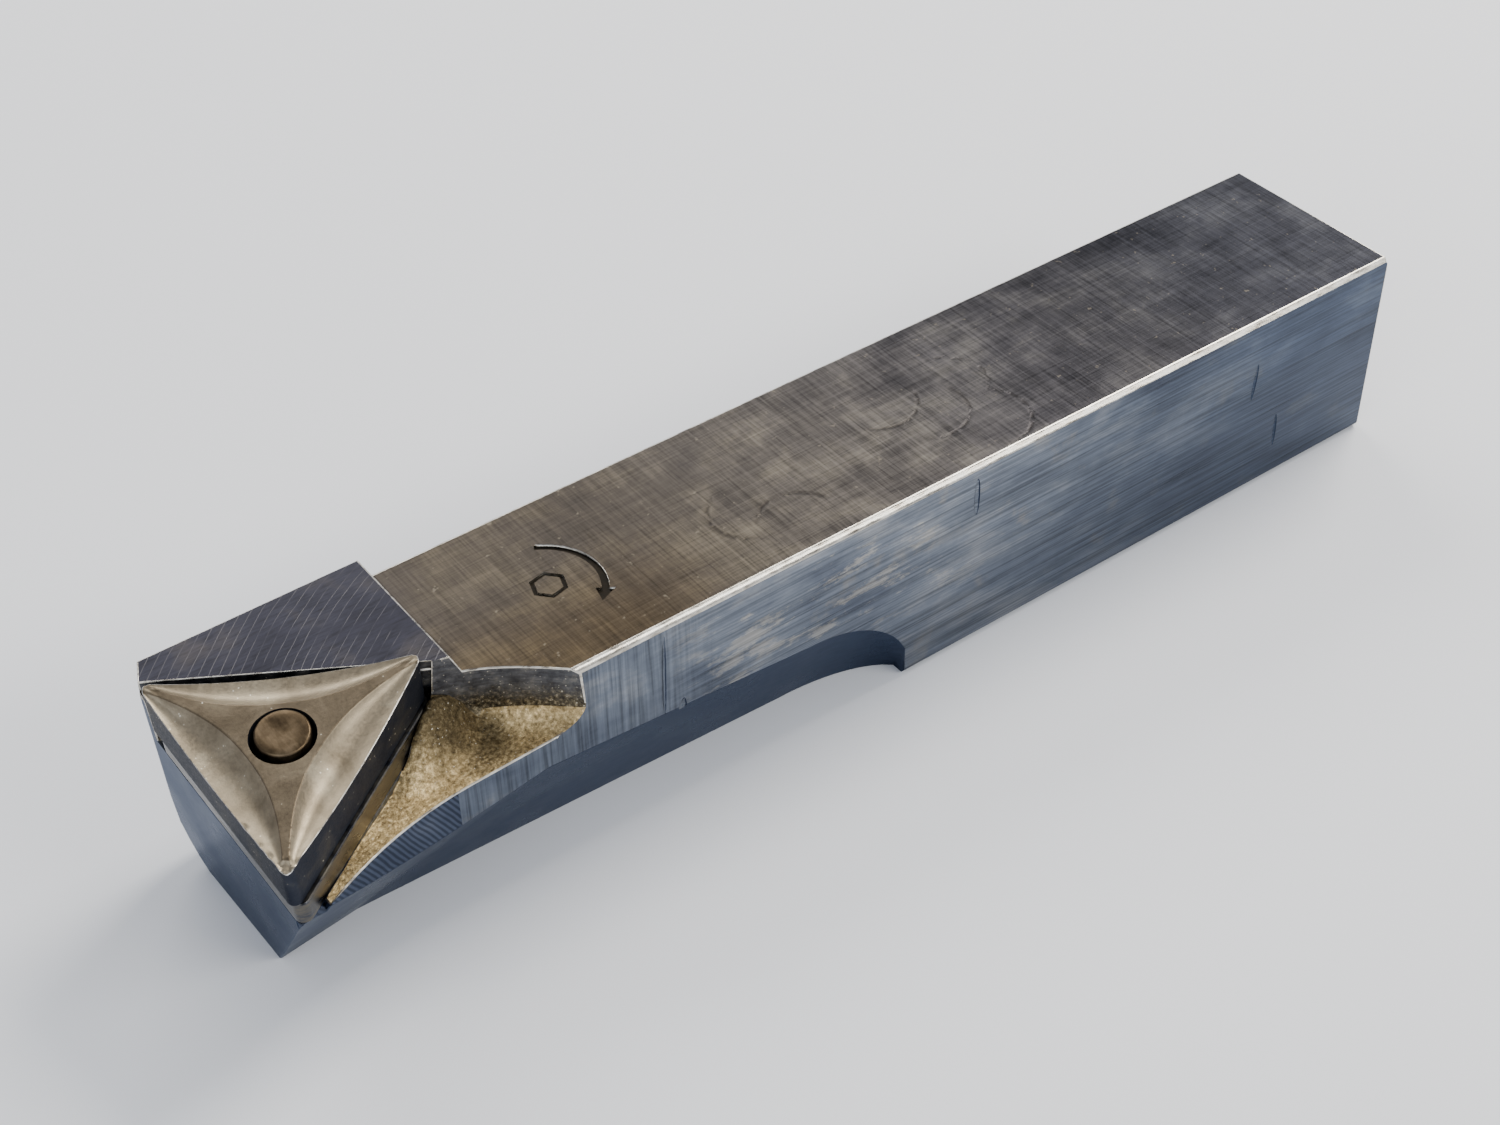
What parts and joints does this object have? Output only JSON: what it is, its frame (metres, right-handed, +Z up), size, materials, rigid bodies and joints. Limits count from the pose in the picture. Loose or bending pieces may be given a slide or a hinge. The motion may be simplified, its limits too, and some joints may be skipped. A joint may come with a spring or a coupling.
{
  "type": "indexable turning tool holder",
  "caption": "Square-shank lathe tool holder with a triangular cutting insert on a seat, locked by an eccentric cam pin turned with a hex key from below.",
  "frame": {"origin": "middle of the shank's flat bottom face, halfway between the rear face and the cutting nose and halfway across the shank", "axes": "+X along the shank to its rear face, so the cutting head points to -X; -Y is the cutting side, where the nose stands out; +Z up out of the shank's top"},
  "size_m": [0.1539, 0.031, 0.0291],
  "materials": {
    "holder_steel": "blued and worn, fine cross brushing",
    "seat_carbide": "ground",
    "insert_carbide": "matte sintered",
    "pin_steel": "tempered brown",
    "spring_steel": "bright spring steel",
    "ring_steel": "black phosphated"
  },
  "bodies": {
    "holder_body": {"holder": "holder_steel", "seat": "seat_carbide", "wave_washer": "spring_steel"},
    "cam_pin_body": {"cam_pin": "pin_steel", "retaining_ring": "ring_steel"},
    "insert_body": {"insert": "insert_carbide"}
  },
  "joints": [
    {"name": "cam_pin_turn", "type": "hinge", "parent": "holder_body", "child": "cam_pin_body", "pos_m": [-0.06935, -0.00517, 0.02797], "axis": [-0.0767, -0.1388, 0.9873], "range_deg": [0, 150]},
    {"name": "insert_lift", "type": "slide", "parent": "holder_body", "child": "insert_body", "axis": [-0.0767, -0.1388, 0.9873], "range_m": [0, 0.008]}
  ]
}
